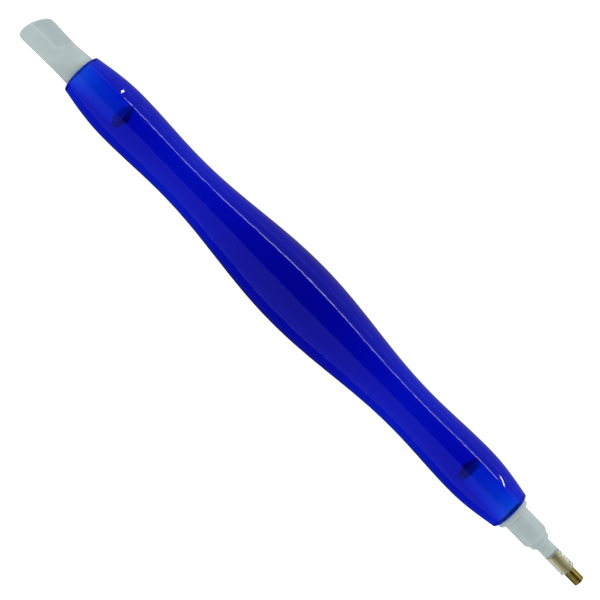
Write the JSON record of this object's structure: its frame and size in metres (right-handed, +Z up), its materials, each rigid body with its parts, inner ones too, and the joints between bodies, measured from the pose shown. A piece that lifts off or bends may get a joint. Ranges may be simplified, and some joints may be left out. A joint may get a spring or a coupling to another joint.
{
  "type": "bead setting pen",
  "caption": "Double-ended hand pen for setting small flat gems: clear wave-shaped handle, push-fit spatula at one end, push-fit holder with a metal tube tip at the other.",
  "frame": {"origin": "on the pen's axis, halfway along its whole length and at the centre of its round sections", "axes": "+X along the pen from the spatula to the metal setting tip, +Z up with the pen lying on its belly"},
  "size_m": [0.1571, 0.0154, 0.0154],
  "materials": {
    "clear_acrylic": "polished",
    "milky_plastic": "satin",
    "brass": "polished"
  },
  "bodies": {
    "handle": {"handle": "clear_acrylic"},
    "spatula_head": {"spatula": "milky_plastic"},
    "tip_head": {"tip_holder": "milky_plastic", "setting_tip": "brass"}
  },
  "joints": [
    {"name": "spatula_pull", "type": "slide", "parent": "handle", "child": "spatula_head", "axis": [-1, 0, 0], "range_m": [0, 0.02]},
    {"name": "tip_pull", "type": "slide", "parent": "handle", "child": "tip_head", "axis": [1, 0, 0], "range_m": [0, 0.02]}
  ]
}
